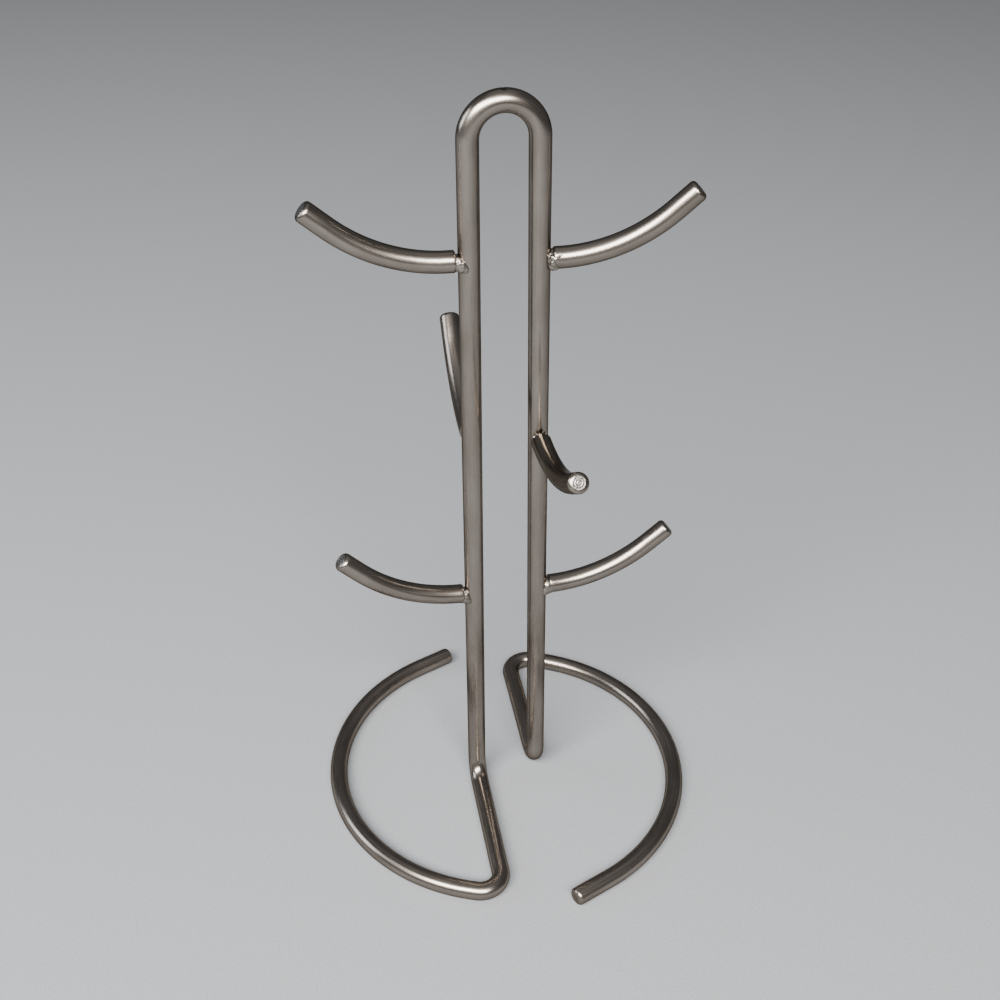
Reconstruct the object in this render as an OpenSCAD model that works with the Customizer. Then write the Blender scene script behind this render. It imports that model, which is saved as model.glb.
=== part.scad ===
// Six-arm mug tree bent from plated steel rod.
// One long rod makes the tall narrow loop and both halves of the round base.
// Six short curved arms are welded to its two uprights at three heights.
// Millimetres, +Z up. The origin is on the table at the middle of the base.

/* [Rod] */
// diameter of the steel rod used for the frame and the arms
rod_d = 9; // [8:0.5:10]
// cut-back of the bevel on every free rod end
end_bevel = 1.6; // [0.8:0.1:2.4]

/* [Frame] */
// height from the table to the top of the loop
overall_h = 361; // [330:1:400]
// distance between the rod centres at the top of the loop
loop_w = 28; // [24:0.5:34]
// distance between the rod centres where the uprights reach the table
stance_w = 31.5; // [31:0.5:38]
// centreline radius of the bend from each upright into its spoke
heel_r = 11.5; // [7:0.5:14]
// width of the shallow nick across the top of the loop
nick_w = 3; // [2:0.5:5]
// depth of the nick
nick_depth = 0.6; // [0.3:0.1:1]

/* [Base] */
// outside diameter of the round base
base_d = 186; // [160:1:220]
// centreline radius of the bend from each spoke into its half ring
toe_r = 10; // [7:0.5:16]
// how far each half ring is moved towards its own free end
ring_shift = 3.7; // [0:0.1:8]
// where the curve of each half ring ends, from the line across the arms
ring_end_angle = 66.5; // [50:0.5:80]
// straight free end of each half ring
ring_tail = 20; // [4:0.5:30]

/* [Arms] */
// straight start of the arm, measured from the face of the upright
arm_root = 3.6; // [3:0.1:8]
// cut-back of the bevel on the welded end
root_bevel = 0.9; // [0.5:0.1:1.2]
// centreline radius of the upward curve of the arm
arm_r = 72; // [50:1:95]
// how much the arm curves up between its straight start and its tip
arm_rise = 40.75; // [30:0.25:55]
// straight tip of the arm
arm_tip = 11.8; // [6:0.2:20]

/* [Arm places] */
// height of the centre of the upper left arm at the upright
upper_left_level = 294.5; // [280:0.5:305]
// turn of the upper left arm seen from above, anticlockwise
upper_left_swing = -0.5; // [-10:0.5:10]
// upward tilt of the upper left arm at its weld
upper_left_tilt = 0; // [-8:0.5:8]
// height of the centre of the upper right arm at the upright
upper_right_level = 293; // [280:0.5:305]
// turn of the upper right arm seen from above, anticlockwise
upper_right_swing = -5.5; // [-10:0.5:10]
// upward tilt of the upper right arm at its weld
upper_right_tilt = 1.5; // [-8:0.5:8]
// height of the centre of the front arm at the upright
front_level = 211; // [195:0.5:230]
// turn of the front arm seen from above, anticlockwise
front_swing = 2.5; // [-10:0.5:10]
// upward tilt of the front arm at its weld
front_tilt = -6.5; // [-8:0.5:8]
// height of the centre of the back arm at the upright
back_level = 211; // [195:0.5:230]
// turn of the back arm seen from above, anticlockwise
back_swing = 0; // [-10:0.5:10]
// upward tilt of the back arm at its weld
back_tilt = 3; // [-8:0.5:8]
// height of the centre of the lower left arm at the upright
lower_left_level = 125.5; // [115:0.5:140]
// turn of the lower left arm seen from above, anticlockwise
lower_left_swing = 4; // [-10:0.5:10]
// upward tilt of the lower left arm at its weld
lower_left_tilt = 5; // [-8:0.5:8]
// height of the centre of the lower right arm at the upright
lower_right_level = 125.5; // [115:0.5:140]
// turn of the lower right arm seen from above, anticlockwise
lower_right_swing = 4.5; // [-10:0.5:10]
// upward tilt of the lower right arm at its weld
lower_right_tilt = -2.5; // [-8:0.5:8]

/* [Welds] */
// gap between the upright and the end of the arm, filled by the weld
weld_gap = 1; // [0.6:0.1:1.6]
// widest part of the weld
weld_d = 6.6; // [5:0.1:7.2]
// narrow middle of the weld
weld_waist_d = 5.6; // [4:0.1:6]

/* [Hidden] */
$fn = 96;
rod_r = rod_d / 2;
loop_r = loop_w / 2;
stance = stance_w / 2;
loop_z = overall_h - rod_r - loop_r;
// a bend is drawn this much thinner than a straight stretch and runs this far
// into it, and the straight stretch tapers to meet it, so they make one solid
bend_ease = 0.03;
bend_sink = 0.12;
taper = [0.06, 0.15];
free_end = [end_bevel, end_bevel];
welded_end = [root_bevel, root_bevel];
// lean of the uprights that joins the loop to the wider stance
drop = loop_z - rod_r;
lean = acos(loop_r / norm([stance, drop])) - atan2(drop, stance);
leg_reach = (drop + loop_r * sin(lean)) / cos(lean);
// a short straight link joins the toe bend to the half ring
link = 1.5;
ring_r = base_d / 2 - rod_r;
toe_x = stance + toe_r;
toe_to_ring = [ring_r - toe_r, link];
toe_y = sqrt(pow(norm(toe_to_ring), 2) - pow(toe_x, 2));
toe_turn = 180 - atan2(toe_y, toe_x) + atan2(link, ring_r - toe_r);
spoke = toe_y - ring_shift - heel_r;
ring_turn = 180 - toe_turn + ring_end_angle;
// nick cut by a round bar lying across the loop
nick_r = (pow(nick_w / 2, 2) + pow(nick_depth, 2)) / (2 * nick_depth);
// the weld starts inside the upright and is cut back to its face
weld_sink = 1.6;
steel = [0.56, 0.53, 0.49];

// round rod swept from +Z towards +X about a centre at [radius, 0, 0]
module arc(radius, turn, d) {
    translate([radius, 0, 0])
        rotate([90, 0, 180])
            rotate_extrude(angle = turn)
                translate([radius, 0])
                    circle(d = d);
}

// moves what follows to the end of an arc
module after_arc(radius, turn) {
    translate([radius, 0, 0])
        rotate([0, turn, 0])
            translate([-radius, 0, 0])
                children();
}

// straight stretch of rod along +Z, followed by its children; each end is cut
// back by [depth, length], as a taper into a bend or as a bevel
module run(length, start, end) {
    rotate_extrude()
        polygon([[0, 0], [rod_r - start[0], 0], [rod_r, start[1]],
                 [rod_r, length - end[1]], [rod_r - end[0], length],
                 [0, length]]);
    translate([0, 0, length])
        children();
}

// round bend, sunk a little into the straight stretch at each end
module bend(radius, turn) {
    extra = bend_sink / (radius - rod_r) * 180 / PI;
    after_arc(radius, -extra)
        arc(radius, turn + 2 * extra, rod_d - 2 * bend_ease);
    after_arc(radius, turn)
        children();
}

// puts children at the right-hand end of the loop, heading down the upright
module at_loop_end() {
    translate([0, 0, loop_z])
        rotate([0, -lean, 0])
            translate([loop_r, 0, 0])
                rotate([0, 180, 0])
                    children();
}

// one upright with its spoke and its half ring
module half_frame() {
    at_loop_end()
        run(leg_reach - heel_r, taper, taper)
            rotate([0, 0, 90])
                bend(heel_r, 90)
                    rotate([0, 0, 90 + lean])
                        run(spoke, taper, taper)
                            bend(toe_r, toe_turn)
                                run(link, taper, taper)
                                    bend(ring_r, ring_turn)
                                        run(ring_tail, taper, free_end);
}

// distance of the upright's centre from the middle at a given height
function upright_x(level) =
    (loop_r + (loop_z - level) * sin(lean)) / cos(lean);

// puts children inside an upright at a given height, +Z along the upright and
// +X towards the arm: side is 1 for the right upright and -1 for the left,
// direction is the way the arm points seen from above
module at_upright(side, level, direction) {
    translate([side * upright_x(level), 0, level])
        rotate([0, -side * lean, 0])
            rotate([0, 0, direction])
                children();
}

// turns +Z to point away from the upright, tilted up, and +X to point up
module outward(tilt) {
    rotate([0, 90 - tilt, 0])
        rotate([0, 0, 180])
            children();
}

// one arm, starting clear of the upright by the weld gap
module arm(side, level, direction, tilt) {
    at_upright(side, level, direction)
        outward(tilt)
            translate([0, 0, rod_r + weld_gap])
                run(arm_root - weld_gap, welded_end, taper)
                    bend(arm_r, arm_rise)
                        run(arm_tip, taper, free_end);
}

// one weld, a waisted bead cut back to the face of its upright
module weld(side, level, direction, tilt) {
    wide = weld_d / 2;
    waist = weld_waist_d / 2;
    at_upright(side, level, direction)
        difference() {
            outward(tilt)
                translate([0, 0, rod_r - weld_sink])
                    rotate_extrude()
                        polygon([[0, 0], [wide, 0], [wide, weld_sink],
                                 [waist, weld_sink + weld_gap / 2],
                                 [wide, weld_sink + weld_gap],
                                 [0, weld_sink + weld_gap]]);
            cylinder(h = 2 * weld_d, d = rod_d, center = true);
        }
}

module frame_rod() {
    color(steel)
        difference() {
            union() {
                rotate([0, 0, 180])
                    at_loop_end()
                        rotate([0, 180, 0])
                            rotate([0, 0, 180])
                                bend(loop_r, 180 - 2 * lean);
                half_frame();
                rotate([0, 0, 180])
                    half_frame();
            }
            translate([0, rod_d, overall_h + nick_r - nick_depth])
                rotate([90, 0, 0])
                    cylinder(h = 2 * rod_d, r = nick_r);
        }
}

module upper_left_arm() {
    color(steel)
        arm(-1, upper_left_level, 180 + upper_left_swing, upper_left_tilt);
}

module upper_right_arm() {
    color(steel)
        arm(1, upper_right_level, upper_right_swing, upper_right_tilt);
}

module front_arm() {
    color(steel)
        arm(1, front_level, -90 + front_swing, front_tilt);
}

module back_arm() {
    color(steel)
        arm(-1, back_level, 90 + back_swing, back_tilt);
}

module lower_left_arm() {
    color(steel)
        arm(-1, lower_left_level, 180 + lower_left_swing, lower_left_tilt);
}

module lower_right_arm() {
    color(steel)
        arm(1, lower_right_level, lower_right_swing, lower_right_tilt);
}

module upper_left_weld() {
    color(steel)
        weld(-1, upper_left_level, 180 + upper_left_swing, upper_left_tilt);
}

module upper_right_weld() {
    color(steel)
        weld(1, upper_right_level, upper_right_swing, upper_right_tilt);
}

module front_weld() {
    color(steel)
        weld(1, front_level, -90 + front_swing, front_tilt);
}

module back_weld() {
    color(steel)
        weld(-1, back_level, 90 + back_swing, back_tilt);
}

module lower_left_weld() {
    color(steel)
        weld(-1, lower_left_level, 180 + lower_left_swing, lower_left_tilt);
}

module lower_right_weld() {
    color(steel)
        weld(1, lower_right_level, lower_right_swing, lower_right_tilt);
}

frame_rod();
upper_left_arm();
upper_right_arm();
front_arm();
back_arm();
lower_left_arm();
lower_right_arm();
upper_left_weld();
upper_right_weld();
front_weld();
back_weld();
lower_left_weld();
lower_right_weld();
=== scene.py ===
from math import acos, atan2, cos, hypot, pi, radians, sin, sqrt

import bmesh
import bpy
from mathutils import Matrix, Vector


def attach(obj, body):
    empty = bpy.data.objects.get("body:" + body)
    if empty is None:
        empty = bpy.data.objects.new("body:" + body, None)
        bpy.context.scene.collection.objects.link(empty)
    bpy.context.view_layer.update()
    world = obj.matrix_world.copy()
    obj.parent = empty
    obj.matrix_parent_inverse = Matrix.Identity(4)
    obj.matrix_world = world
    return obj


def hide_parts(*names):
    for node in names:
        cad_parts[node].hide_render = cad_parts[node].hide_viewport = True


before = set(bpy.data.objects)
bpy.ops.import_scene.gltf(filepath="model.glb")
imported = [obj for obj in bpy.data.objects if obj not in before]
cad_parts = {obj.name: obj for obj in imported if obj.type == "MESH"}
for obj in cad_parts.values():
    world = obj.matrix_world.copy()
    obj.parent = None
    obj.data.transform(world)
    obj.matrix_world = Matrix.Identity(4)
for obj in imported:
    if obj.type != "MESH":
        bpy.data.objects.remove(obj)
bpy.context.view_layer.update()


# ---------------------------------------------------------------------------
# Camera. It stands in front, a little to the left, and looks down on the tree
# as a person does who has set it on a table.
eye = Vector((-0.087459, -0.482525, 0.521172))
turn_right = radians(11.727)
look_down = radians(38.798)
tilt = radians(0.715)
lens = bpy.data.cameras.new("table_camera")
lens.sensor_width = 36.0
lens.lens = 47.461
lens.shift_x = -0.031571
lens.shift_y = 0.086360
camera = bpy.data.objects.new("table_camera", lens)
bpy.context.collection.objects.link(camera)
camera.matrix_world = (Matrix.Translation(eye)
                       @ Matrix.Rotation(-turn_right, 4, "Z")
                       @ Matrix.Rotation(pi / 2 - look_down, 4, "X")
                       @ Matrix.Rotation(tilt, 4, "Z"))
bpy.context.scene.camera = camera


# ---------------------------------------------------------------------------
# Frame rod. One 9 mm steel bar is bent into a tall narrow loop, turned out at
# each foot into a spoke, and rolled into two half rings that lie on the table.
# It is polished along its length, then plated with satin nickel.
rod_r = 0.0045
end_bevel = 0.0018
loop_r = 0.014
loop_z = 0.3425
stance = 0.01575
heel_r = 0.0115
toe_r = 0.010
ring_r = 0.0885
ring_shift = 0.0037
link = 0.0015
ring_end_angle = radians(66.5)
ring_tail = 0.020
sides = 64
crease = radians(28)

drop = loop_z - rod_r
lean = acos(loop_r / hypot(stance, drop)) - atan2(drop, stance)
leg = (drop + loop_r * sin(lean)) / cos(lean) - heel_r
toe_x = stance + toe_r
toe_y = sqrt((ring_r - toe_r) ** 2 + link ** 2 - toe_x ** 2)
toe_turn = pi - atan2(toe_y, toe_x) + atan2(link, ring_r - toe_r)
spoke = toe_y - ring_shift - heel_r
ring_turn = pi - toe_turn + ring_end_angle


def lone_ring(name, centre, turned):
    """An open ring of the bar's outline, added as a selected object."""
    bpy.ops.object.select_all(action="DESELECT")
    bpy.ops.mesh.primitive_circle_add(vertices=sides, radius=rod_r,
                                      location=centre, rotation=turned)
    bpy.ops.object.transform_apply(location=True, rotation=True, scale=True)
    ring = bpy.context.object
    ring.name = name
    ring.data.name = name
    return ring


def draw_straight(heading, length):
    """Pulls the selected ring along a straight stretch of bar."""
    bpy.ops.mesh.extrude_region_move(
        TRANSFORM_OT_translate={"value": heading * length})


def draw_bend(at, heading, towards, radius, turn, steps):
    """Rolls the selected ring round a bend, and gives where the bar is then."""
    middle = at + towards * radius
    axis = heading.cross(towards)
    bpy.ops.mesh.spin(steps=steps, angle=-turn, center=middle, axis=axis)
    rolled = Matrix.Rotation(turn, 3, axis)
    return middle + rolled @ (at - middle), rolled @ heading


def cut_end(bevel):
    """Closes the selected ring with a cut face, a worn bevel and a low dish."""
    bpy.ops.mesh.edge_face_add()
    bpy.ops.mesh.bevel(offset=bevel, segments=8, profile=0.5,
                       affect="EDGES")
    bpy.ops.mesh.select_mode(type="FACE")
    net = bmesh.from_edit_mesh(bpy.context.object.data)
    for face in net.faces:
        face.select_set(len(face.verts) > 4)
    bmesh.update_edit_mesh(bpy.context.object.data)
    rim, dish_slope, dish_floor = 0.0002, 0.0010, 0.0009
    bpy.ops.mesh.inset(thickness=rim)
    bpy.ops.mesh.inset(thickness=dish_slope, depth=-0.00006)
    bpy.ops.mesh.inset(thickness=dish_floor, depth=0.00003)
    bpy.ops.mesh.poke()


def note_length(piece):
    """Writes each point's place on the straight bar, before it was bent:
    across, up, and along."""
    net = bmesh.from_edit_mesh(piece.data)
    bar = net.verts.layers.float_vector["bar"]
    net.verts.ensure_lookup_table()
    rows = [net.verts[i:i + sides] for i in range(0, len(net.verts), sides)]
    along = 0
    before = None
    for row in rows:
        middle = sum((v.co for v in row), Vector()) / len(row)
        if before is not None:
            along += (middle - before).length
        before = middle
        for v in row:
            v[bar] = Vector((v[bar].x, v[bar].y, along))
    bmesh.update_edit_mesh(piece.data)


# the half from the middle of the crown to the free end on the right
crown = Vector((0, 0, loop_z + loop_r))
frame_rod = lone_ring("bent_frame_rod", crown, (0, pi / 2, 0))
bar = frame_rod.data.attributes.new("bar", "FLOAT_VECTOR", "POINT")
for point in frame_rod.data.vertices:
    bar.data[point.index].vector = (point.co.y, point.co.z - crown.z, 0)
bpy.ops.object.mode_set(mode="EDIT")
bpy.ops.mesh.select_mode(type="VERT")
bpy.ops.mesh.select_all(action="SELECT")
down, back, right = Vector((0, 0, -1)), Vector((0, 1, 0)), Vector((1, 0, 0))
nick_reach = radians(10)
at, heading = draw_bend(crown, right, down, loop_r, nick_reach, 14)
inward = back.cross(heading)
at, heading = draw_bend(at, heading, inward, loop_r,
                        pi / 2 - lean - nick_reach, 34)
draw_straight(heading, leg)
at = at + heading * leg
at, heading = draw_bend(at, heading, back, heel_r, pi / 2, 34)
draw_straight(heading, spoke)
at = at + heading * spoke
at, heading = draw_bend(at, heading, right, toe_r, toe_turn, 42)
draw_straight(heading, link)
at = at + heading * link
inward = heading.cross(Vector((0, 0, 1)))
at, heading = draw_bend(at, heading, inward, ring_r, ring_turn, 76)
draw_straight(heading, ring_tail)
note_length(frame_rod)
cut_end(end_bevel)
bpy.ops.object.mode_set(mode="OBJECT")

# the other half is the same half turned about the middle
bpy.ops.object.duplicate()
other_half = bpy.context.object
other_half.data.transform(Matrix.Rotation(pi, 4, "Z"))
for place in other_half.data.attributes["bar"].data:
    x, y, z = place.vector
    place.vector = (-x, y, -z)
frame_rod.select_set(True)
bpy.context.view_layer.objects.active = frame_rod
bpy.ops.object.join()
bpy.ops.object.mode_set(mode="EDIT")
bpy.ops.mesh.select_all(action="SELECT")
bpy.ops.mesh.remove_doubles(threshold=0.000002)
bpy.ops.mesh.normals_make_consistent(inside=False)
bpy.ops.object.mode_set(mode="OBJECT")

# a shallow nick is filed across the crown
nick_w, nick_depth = 0.003, 0.0004
nick_r = ((nick_w / 2) ** 2 + nick_depth ** 2) / (2 * nick_depth)
nick_z = crown.z + rod_r + nick_r - nick_depth
for point in frame_rod.data.vertices:
    if abs(point.co.x) < nick_w / 2:
        filed = nick_z - sqrt(nick_r ** 2 - point.co.x ** 2)
        if point.co.z > filed:
            point.co.z = filed

bpy.ops.object.select_all(action="DESELECT")
frame_rod.select_set(True)
bpy.context.view_layer.objects.active = frame_rod
bpy.ops.object.shade_smooth_by_angle(angle=crease)

# satin nickel: fine lines drawn along the bar, a faint speckle in the plating
# and a few bright rubs
nickel = bpy.data.materials.new("satin_nickel")
nickel.use_nodes = True
nodes, links = nickel.node_tree.nodes, nickel.node_tree.links
nodes.clear()
out = nodes.new("ShaderNodeOutputMaterial")
metal = nodes.new("ShaderNodeBsdfPrincipled")
metal.inputs["Metallic"].default_value = 1.0
metal.inputs["Specular Tint"].default_value = (0.25, 0.24, 0.23, 1)
links.new(metal.outputs["BSDF"], out.inputs["Surface"])
place = nodes.new("ShaderNodeAttribute")
place.attribute_name = "bar"


def noise(tree, vector, stretch, scale, detail, roughness=0.5):
    """A noise pattern on a stretched copy of a place."""
    mapping = tree.nodes.new("ShaderNodeMapping")
    mapping.inputs["Scale"].default_value = stretch
    tree.links.new(vector, mapping.inputs["Vector"])
    pattern = tree.nodes.new("ShaderNodeTexNoise")
    pattern.inputs["Scale"].default_value = scale
    pattern.inputs["Detail"].default_value = detail
    pattern.inputs["Roughness"].default_value = roughness
    tree.links.new(mapping.outputs["Vector"], pattern.inputs["Vector"])
    return pattern.outputs["Fac"]


def ramp(tree, value, stops):
    """A colour ramp: stops are (place, grey or colour)."""
    band = tree.nodes.new("ShaderNodeValToRGB")
    while len(band.color_ramp.elements) < len(stops):
        band.color_ramp.elements.new(0.5)
    for element, (where, colour) in zip(band.color_ramp.elements, stops):
        if isinstance(colour, float):
            colour = (colour, colour, colour)
        element.position = where
        element.color = (*colour, 1)
    tree.links.new(value, band.inputs["Fac"])
    return band.outputs["Color"]


def blend(tree, how, amount, first, second):
    """Mixes two colours; amount is a number or a socket."""
    mix = tree.nodes.new("ShaderNodeMix")
    mix.data_type = "RGBA"
    mix.blend_type = how
    if isinstance(amount, float):
        mix.inputs[0].default_value = amount
    else:
        tree.links.new(amount, mix.inputs[0])
    tree.links.new(first, mix.inputs[6])
    tree.links.new(second, mix.inputs[7])
    return mix.outputs[2]


def sums(tree, how, first, second):
    """Adds, multiplies and so on; second is a number or a socket."""
    maths = tree.nodes.new("ShaderNodeMath")
    maths.operation = how
    tree.links.new(first, maths.inputs[0])
    if isinstance(second, float):
        maths.inputs[1].default_value = second
    else:
        tree.links.new(second, maths.inputs[1])
    return maths.outputs[0]


def bumped(tree, height, strength, distance, normal=None):
    """A bump from a height pattern, on top of another bump."""
    bump = tree.nodes.new("ShaderNodeBump")
    bump.inputs["Strength"].default_value = strength
    bump.inputs["Distance"].default_value = distance
    tree.links.new(height, bump.inputs["Height"])
    if normal is not None:
        tree.links.new(normal, bump.inputs["Normal"])
    return bump.outputs["Normal"]


tree = nickel.node_tree
where = place.outputs["Vector"]
drawn = noise(tree, where, (1, 1, 0.025), 1500, 5, 0.6)
cloud = noise(tree, where, (1, 1, 0.35), 130, 3)
speckle = noise(tree, where, (1, 1, 1), 3200, 2)
rubs = noise(tree, where, (1, 1, 0.12), 420, 6, 0.7)
tone = ramp(tree, cloud, [(0.3, (0.225, 0.195, 0.167)),
                          (0.7, (0.295, 0.260, 0.227))])
lines = ramp(tree, drawn, [(0.32, 0.84), (0.5, 0.97), (0.68, 1.0)])
tone = blend(tree, "MULTIPLY", 0.8, tone, lines)
grains = ramp(tree, speckle, [(0.36, 0.86), (0.6, 1.0)])
tone = blend(tree, "MULTIPLY", 0.6, tone, grains)
rub = ramp(tree, rubs, [(0.66, 0.0), (0.74, 1.0)])
links.new(tone, metal.inputs["Base Color"])
rough = ramp(tree, drawn, [(0.3, 0.22), (0.7, 0.30)])
smooth = sums(tree, "MULTIPLY", rub, 0.08)
rough = sums(tree, "SUBTRACT", rough, smooth)
links.new(rough, metal.inputs["Roughness"])
relief = bumped(tree, drawn, 0.30, 0.00004)
relief = bumped(tree, speckle, 0.25, 0.00004, relief)
links.new(relief, metal.inputs["Normal"])

frame_rod.data.materials.clear()
frame_rod.data.materials.append(nickel)
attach(frame_rod, "root")
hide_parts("frame_rod")


# ---------------------------------------------------------------------------
# Arms. Six short lengths of the same bar, cut, bevelled at both ends, rolled
# up in a gentle curve so that a mug stays on, and butted to the uprights.
weld_gap = 0.001
arm_root = 0.0036
arm_r = 0.072
arm_rise = radians(40.75)
arm_tip = 0.0118
root_bevel = 0.0009


def upright_place(side, level, direction, tilt):
    """Where an arm leaves an upright: x along the arm, y across it."""
    reach = (loop_r + (loop_z - level) * sin(lean)) / cos(lean)
    return (Matrix.Translation((side * reach, 0, level))
            @ Matrix.Rotation(-side * lean, 4, "Y")
            @ Matrix.Rotation(radians(direction), 4, "Z")
            @ Matrix.Rotation(radians(-tilt), 4, "Y"))


up = Vector((0, 0, 1))
root = right * (rod_r + weld_gap)
first_arm = lone_ring("arm", root, (0, pi / 2, 0))
bar = first_arm.data.attributes.new("bar", "FLOAT_VECTOR", "POINT")
for point in first_arm.data.vertices:
    bar.data[point.index].vector = (point.co.y, point.co.z, 0)
bpy.ops.object.mode_set(mode="EDIT")
bpy.ops.mesh.select_mode(type="VERT")
bpy.ops.mesh.select_all(action="SELECT")
draw_straight(right, arm_root - weld_gap)
at = root + right * (arm_root - weld_gap)
at, heading = draw_bend(at, right, up, arm_r, arm_rise, 40)
draw_straight(heading, arm_tip)
note_length(first_arm)
cut_end(end_bevel)
bpy.ops.mesh.select_mode(type="VERT")
bpy.ops.mesh.select_all(action="DESELECT")
net = bmesh.from_edit_mesh(first_arm.data)
for edge in net.edges:
    if edge.is_boundary:
        edge.select_set(True)
bmesh.update_edit_mesh(first_arm.data)
bpy.ops.mesh.select_mode(type="EDGE")
cut_end(root_bevel)
bpy.ops.mesh.select_all(action="SELECT")
bpy.ops.mesh.normals_make_consistent(inside=False)
bpy.ops.object.mode_set(mode="OBJECT")
bpy.ops.object.shade_smooth_by_angle(angle=crease)

# the cut faces keep the rings that the cutter left
cut_face = bpy.data.materials.new("cut_bar_end")
cut_face.use_nodes = True
tree = cut_face.node_tree
shader = tree.nodes["Principled BSDF"]
shader.inputs["Metallic"].default_value = 1.0
place = tree.nodes.new("ShaderNodeAttribute")
place.attribute_name = "bar"
flat = tree.nodes.new("ShaderNodeMapping")
flat.inputs["Scale"].default_value = (1, 1, 0)
tree.links.new(place.outputs["Vector"], flat.inputs["Vector"])
cutter = tree.nodes.new("ShaderNodeTexWave")
cutter.wave_type = "RINGS"
cutter.rings_direction = "Z"
cutter.inputs["Scale"].default_value = 300
cutter.inputs["Distortion"].default_value = 2.5
cutter.inputs["Detail"].default_value = 3
tree.links.new(flat.outputs["Vector"], cutter.inputs["Vector"])
scuff = noise(tree, place.outputs["Vector"], (1, 1, 1), 1600, 4, 0.65)
tone = ramp(tree, scuff, [(0.36, (0.10, 0.092, 0.085)),
                          (0.60, (0.29, 0.272, 0.255))])
rings = ramp(tree, cutter.outputs["Fac"], [(0.2, 0.45), (0.8, 1.0)])
tree.links.new(blend(tree, "MULTIPLY", 0.7, tone, rings),
               shader.inputs["Base Color"])
tree.links.new(ramp(tree, scuff, [(0.3, 0.22), (0.7, 0.38)]),
               shader.inputs["Roughness"])
relief = bumped(tree, cutter.outputs["Fac"], 0.6, 0.0002)
tree.links.new(bumped(tree, scuff, 0.7, 0.0002, relief),
               shader.inputs["Normal"])


def face_ends(piece, ends):
    """Gives the flat cut faces near each end the cutter's finish."""
    square_on = 0.97
    piece.data.materials.clear()
    piece.data.materials.append(nickel)
    piece.data.materials.append(cut_face)
    for face in piece.data.polygons:
        for middle, outward in ends:
            near = (Vector(face.center) - middle).length < rod_r
            if near and face.normal.dot(outward) > square_on:
                face.material_index = 1


face_ends(first_arm, [(at + heading * arm_tip, heading), (root, -right)])

# side of the tree, height, direction seen from above and tilt of each arm
arm_places = {"upper_left": (-1, 0.2945, 179.5, 0),
              "upper_right": (1, 0.2930, -5.5, 1.5),
              "front": (1, 0.2110, -87.5, -6.5),
              "back": (-1, 0.2110, 90, 3),
              "lower_left": (-1, 0.1255, 184, 5),
              "lower_right": (1, 0.1255, 4.5, -2.5)}
for number, (name, spot) in enumerate(arm_places.items()):
    arm = first_arm.copy()
    arm.data = first_arm.data.copy()
    arm.name = arm.data.name = name + "_arm_bar"
    bpy.context.collection.objects.link(arm)
    arm.data.transform(upright_place(*spot))
    for place in arm.data.attributes["bar"].data:
        place.vector = place.vector + Vector((0, 0, 1.0 + number * 0.2))
    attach(arm, "root")
    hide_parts(name + "_arm")
bpy.data.objects.remove(first_arm)


# ---------------------------------------------------------------------------
# Welds. Each arm is held by a small nugget of weld run in by hand under its
# root, so no two are alike; they are plated over with the rest.
# Each lump is (x out along the arm, y across, z up, radius, x y z squash), mm.
weld_lumps = {
    "upper_left": [(4.9, 0.3, -0.5, 3.5, 0.80, 1.0, 1.0),
                   (4.4, 2.7, -0.3, 2.8, 0.85, 0.8, 1.1),
                   (3.2, 3.6, -1.0, 2.2, 1.00, 0.7, 1.2),
                   (1.9, 4.1, -2.0, 1.5, 1.00, 0.6, 1.2),
                   (5.1, 3.0, 1.8, 1.3, 0.90, 0.8, 1.0),
                   (4.5, -1.4, -2.0, 2.2, 0.90, 1.0, 1.0)],
    "upper_right": [(4.9, 0.0, -0.2, 4.0, 0.85, 1.0, 1.0),
                    (5.0, -3.5, 1.5, 1.2, 1.00, 0.8, 1.0),
                    (6.1, -3.9, 1.0, 1.1, 1.10, 0.7, 0.9),
                    (7.3, -3.8, 1.9, 0.9, 1.20, 0.7, 0.9),
                    (8.5, -3.6, 2.4, 0.7, 1.30, 0.7, 0.8),
                    (5.3, -3.9, -0.6, 1.3, 1.00, 0.7, 1.1),
                    (5.3, -2.4, -2.3, 2.2, 1.15, 0.9, 1.0),
                    (4.4, 1.6, -1.8, 2.3, 0.90, 1.0, 1.0)],
    "front": [(4.9, 0.1, -0.4, 3.4, 0.75, 1.0, 1.0),
              (4.5, -2.9, 1.6, 1.2, 1.00, 0.8, 1.0),
              (4.7, 2.5, 2.4, 1.1, 1.00, 0.9, 0.9),
              (4.9, 0.4, -2.8, 2.0, 1.00, 1.2, 0.9),
              (4.4, -2.6, -0.6, 1.9, 0.80, 0.8, 1.2)],
    "back": [(4.9, 0.0, -0.4, 3.4, 0.75, 1.0, 1.0),
             (4.8, 3.0, 0.5, 1.5, 1.00, 0.9, 1.0),
             (5.0, -1.8, -2.2, 2.0, 1.00, 1.0, 0.9)],
    "lower_left": [(4.9, 0.3, -0.6, 3.8, 0.85, 1.0, 1.0),
                   (4.8, 2.3, -1.6, 2.5, 1.00, 0.9, 1.0),
                   (6.4, 1.9, -2.1, 2.2, 1.20, 0.9, 0.9),
                   (3.4, 3.1, -2.2, 1.9, 1.00, 0.7, 1.2),
                   (4.7, 3.0, 1.4, 0.9, 1.00, 0.9, 0.9)],
    "lower_right": [(4.9, -0.2, -0.3, 4.1, 0.85, 1.0, 1.0),
                    (4.8, -2.3, -1.6, 2.5, 1.00, 0.9, 1.0),
                    (6.5, -2.1, -1.9, 2.2, 1.20, 0.9, 0.9),
                    (3.5, -3.0, -2.3, 1.9, 1.00, 0.7, 1.2),
                    (6.3, -3.4, -0.3, 0.8, 1.10, 0.8, 0.8)],
}

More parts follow.
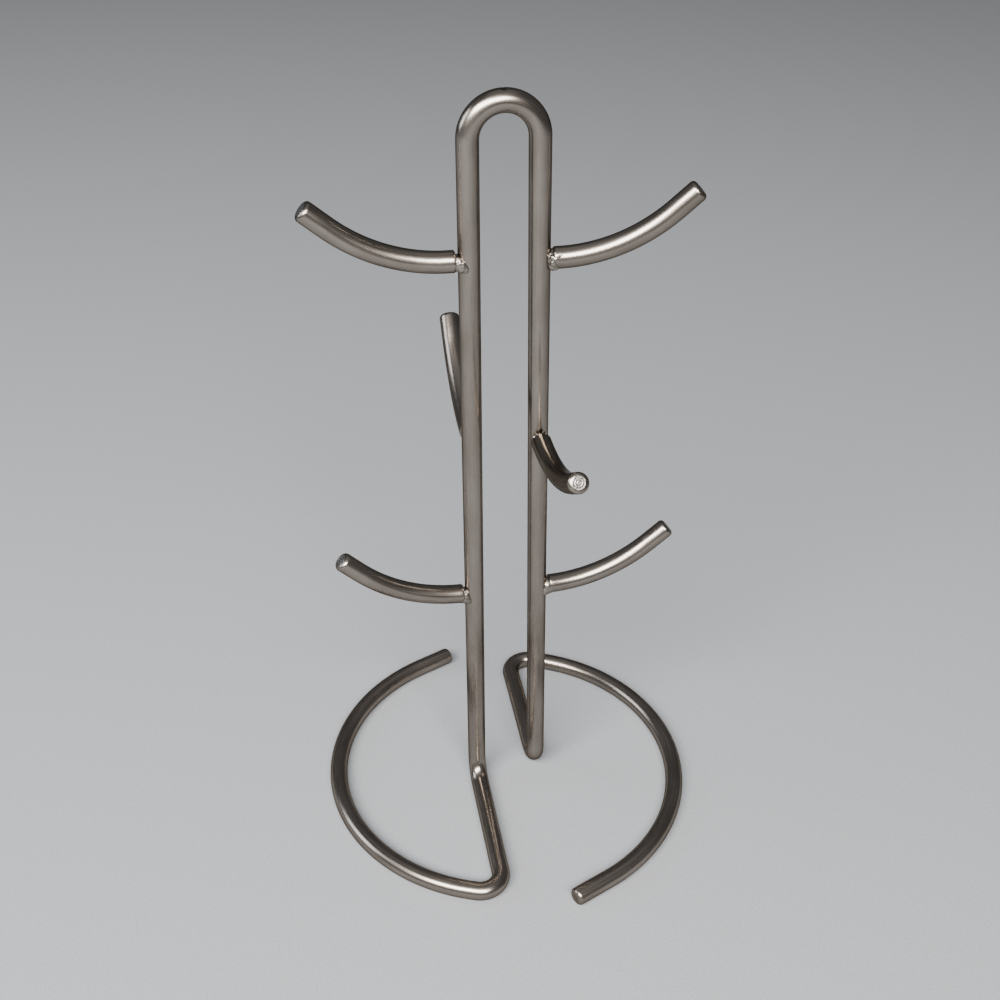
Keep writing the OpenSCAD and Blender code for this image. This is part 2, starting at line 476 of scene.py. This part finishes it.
weld_metal = bpy.data.materials.new("weld_nickel")
weld_metal.use_nodes = True
tree = weld_metal.node_tree
shader = tree.nodes["Principled BSDF"]
shader.inputs["Metallic"].default_value = 1.0
shader.inputs["Specular Tint"].default_value = (0.35, 0.34, 0.33, 1)
place = tree.nodes.new("ShaderNodeTexCoord")
spot = place.outputs["Object"]
scale_marks = noise(tree, spot, (1, 1, 1), 620, 4, 0.55)
pits = noise(tree, spot, (1, 1, 1), 2600, 3, 0.6)
tone = ramp(tree, scale_marks, [(0.34, (0.20, 0.176, 0.153)),
                                (0.55, (0.27, 0.242, 0.214)),
                                (0.72, (0.37, 0.34, 0.308))])
dark = ramp(tree, pits, [(0.34, 0.75), (0.5, 1.0)])
tree.links.new(blend(tree, "MULTIPLY", 0.8, tone, dark),
               shader.inputs["Base Color"])
tree.links.new(ramp(tree, scale_marks, [(0.35, 0.38), (0.65, 0.26)]),
               shader.inputs["Roughness"])
relief = bumped(tree, scale_marks, 0.35, 0.0002)
tree.links.new(bumped(tree, pits, 0.3, 0.00008, relief),
               shader.inputs["Normal"])

for number, (name, lumps) in enumerate(weld_lumps.items()):
    # the upper welds were run in quickly and kept their lumps
    coarse = name.startswith("upper")
    blobs = []
    for x, y, z, radius, wide, deep, tall in lumps:
        bpy.ops.object.select_all(action="DESELECT")
        bpy.ops.mesh.primitive_ico_sphere_add(
            subdivisions=4, radius=radius / 1000,
            location=(x / 1000, y / 1000, z / 1000))
        bpy.context.object.scale = (wide, deep, tall)
        bpy.ops.object.transform_apply(location=True, rotation=True,
                                       scale=True)
        blobs.append(bpy.context.object)
    for blob in blobs:
        blob.select_set(True)
    bpy.context.view_layer.objects.active = blobs[0]
    bpy.ops.object.join()
    nugget = bpy.context.object
    nugget.name = nugget.data.name = name + "_weld_nugget"
    skin = nugget.modifiers.new("one_skin", "REMESH")
    skin.mode = "VOXEL"
    skin.voxel_size = 0.00016
    bpy.ops.object.modifier_apply(modifier=skin.name)
    flow = nugget.modifiers.new("flow", "SMOOTH")
    flow.factor = 0.7
    flow.iterations = 34 if coarse else 60
    bpy.ops.object.modifier_apply(modifier=flow.name)
    ripple = bpy.data.textures.new("weld_ripple", "CLOUDS")
    ripple.noise_scale = 0.0014
    ripple.noise_depth = 1
    lumpy = nugget.modifiers.new("lumpy", "DISPLACE")
    lumpy.texture = ripple
    lumpy.strength = 0.0004 if coarse else 0.00025
    lumpy.mid_level = 0.55
    fresh_spot = Matrix.Translation((0.02 * number, 0, 0))
    nugget.data.transform(fresh_spot)
    bpy.ops.object.modifier_apply(modifier=lumpy.name)
    nugget.data.transform(fresh_spot.inverted())
    bpy.ops.object.shade_smooth()
    nugget.data.transform(upright_place(*arm_places[name]))
    nugget.data.materials.clear()
    nugget.data.materials.append(weld_metal)
    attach(nugget, "root")
    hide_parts(name + "_weld")


# ---------------------------------------------------------------------------
# Table, room and lights. A plain pale surface, a wide window in front on the
# left, a weaker cool one at the side, and a faint glow from the ceiling.
bpy.ops.object.select_all(action="DESELECT")
bpy.ops.mesh.primitive_plane_add(size=14, location=(0, 0, 0))
floor = bpy.context.object
floor.name = "table_top"
pale = bpy.data.materials.new("pale_top")
pale.use_nodes = True
tree = pale.node_tree
shader = tree.nodes["Principled BSDF"]
shader.inputs["Roughness"].default_value = 0.9
place = tree.nodes.new("ShaderNodeTexCoord")
weave = noise(tree, place.outputs["Object"], (1, 1, 1), 900, 3)
tree.links.new(ramp(tree, weave, [(0.3, (0.205, 0.212, 0.223)),
                                  (0.7, (0.245, 0.252, 0.264))]),
               shader.inputs["Base Color"])
tree.links.new(bumped(tree, weave, 0.2, 0.0005), shader.inputs["Normal"])
floor.data.materials.append(pale)

room = bpy.data.worlds.new("room")
room.use_nodes = True
room.node_tree.nodes["Background"].inputs["Color"].default_value = (
    0.27, 0.275, 0.29, 1)
room.node_tree.nodes["Background"].inputs["Strength"].default_value = 0.6
bpy.context.scene.world = room


def soft_lamp(name, at, aim, size, watts, colour):
    lamp = bpy.data.lights.new(name, "AREA")
    lamp.shape = "RECTANGLE"
    lamp.size, lamp.size_y = size
    lamp.energy = watts
    lamp.color = colour
    stand = bpy.data.objects.new(name, lamp)
    bpy.context.collection.objects.link(stand)
    stand.location = at
    stand.rotation_euler = (Vector(aim) - Vector(at)).to_track_quat(
        "-Z", "Y").to_euler()


soft_lamp("window", (-0.45, -1.1, 1.3), (0, 0, 0.2), (1.9, 0.7), 148,
          (1.0, 0.985, 0.96))
soft_lamp("side_window", (-1.7, 0.35, 0.9), (0, 0, 0.2), (0.8, 0.9), 15,
          (0.86, 0.92, 1.0))
soft_lamp("ceiling", (0.2, 0.4, 3.2), (0, 0, 0), (2.6, 2.6), 5,
          (0.97, 0.98, 1.0))
